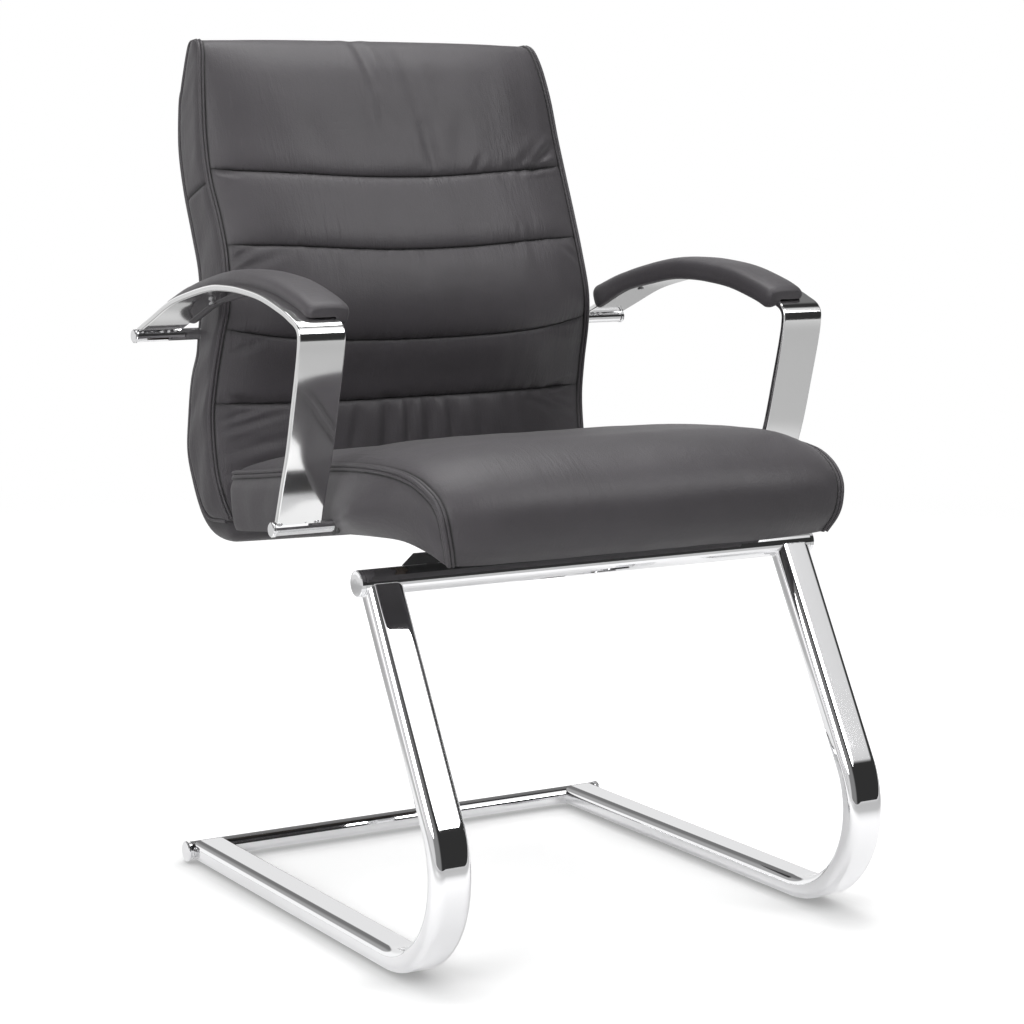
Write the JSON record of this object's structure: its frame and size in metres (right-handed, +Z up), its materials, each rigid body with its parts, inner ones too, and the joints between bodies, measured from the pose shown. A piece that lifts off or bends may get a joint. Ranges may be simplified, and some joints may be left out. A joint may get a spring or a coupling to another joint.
{
  "type": "visitor chair",
  "caption": "Cantilever visitor chair on a chromed tube sled frame, dark grey leather seat and channelled high back, bright strip arms with leather pads",
  "frame": {"origin": "on the floor under the middle of the chair, at the centre of the bounding box's bottom face", "axes": "+X is the sitter's left, +Y points to the rear, +Z is up; the sitter faces -Y"},
  "size_m": [0.6746, 0.73, 0.9723],
  "materials": {
    "chrome": "bright chrome plating on steel tube and sheet",
    "arm_metal": "polished flat steel strip with a faint long grain",
    "leather": "dark grey leather with a fine grain and a satin sheen, sewn and piped",
    "plywood": "moulded plywood, hidden by the upholstery",
    "black_plastic": "matt black moulded plastic",
    "dust_cloth": "thin black non-woven cloth",
    "screw_steel": "plain bright steel"
  },
  "bodies": {
    "root": {"arm_bar_front_left": "chrome", "arm_bar_front_right": "chrome", "arm_bar_rear_left": "chrome", "arm_bar_rear_right": "chrome", "arm_cap_front_left": "chrome", "arm_cap_front_right": "chrome", "arm_cap_rear_left": "chrome", "arm_cap_rear_right": "chrome", "arm_collar_left": "chrome", "arm_collar_right": "chrome", "arm_pad_left": "leather", "arm_pad_right": "leather", "arm_screw_front_left": "screw_steel", "arm_screw_front_right": "screw_steel", "arm_screw_rear_left": "screw_steel", "arm_screw_rear_right": "screw_steel", "arm_strip_left": "arm_metal", "arm_strip_right": "arm_metal", "back_cushion": "leather", "back_rear_panel": "leather", "dust_cover": "dust_cloth", "floor_glide_front_left": "black_plastic", "floor_glide_front_right": "black_plastic", "floor_glide_rear_left": "black_plastic", "floor_glide_rear_right": "black_plastic", "front_cross_tube": "chrome", "front_tube_cap_left": "chrome", "front_tube_cap_right": "chrome", "mounting_pan": "chrome", "rear_bar_cap_left": "chrome", "rear_bar_cap_right": "chrome", "rear_floor_bar": "chrome", "seat_and_back_shell": "plywood", "seat_bolt_front_left": "screw_steel", "seat_bolt_front_right": "screw_steel", "seat_bolt_rear_left": "screw_steel", "seat_bolt_rear_right": "screw_steel", "seat_cushion": "leather", "seat_spacer_front_left": "black_plastic", "seat_spacer_front_right": "black_plastic", "seat_spacer_rear_left": "black_plastic", "seat_spacer_rear_right": "black_plastic", "side_tube_left": "chrome", "side_tube_right": "chrome"}
  },
  "joints": []
}
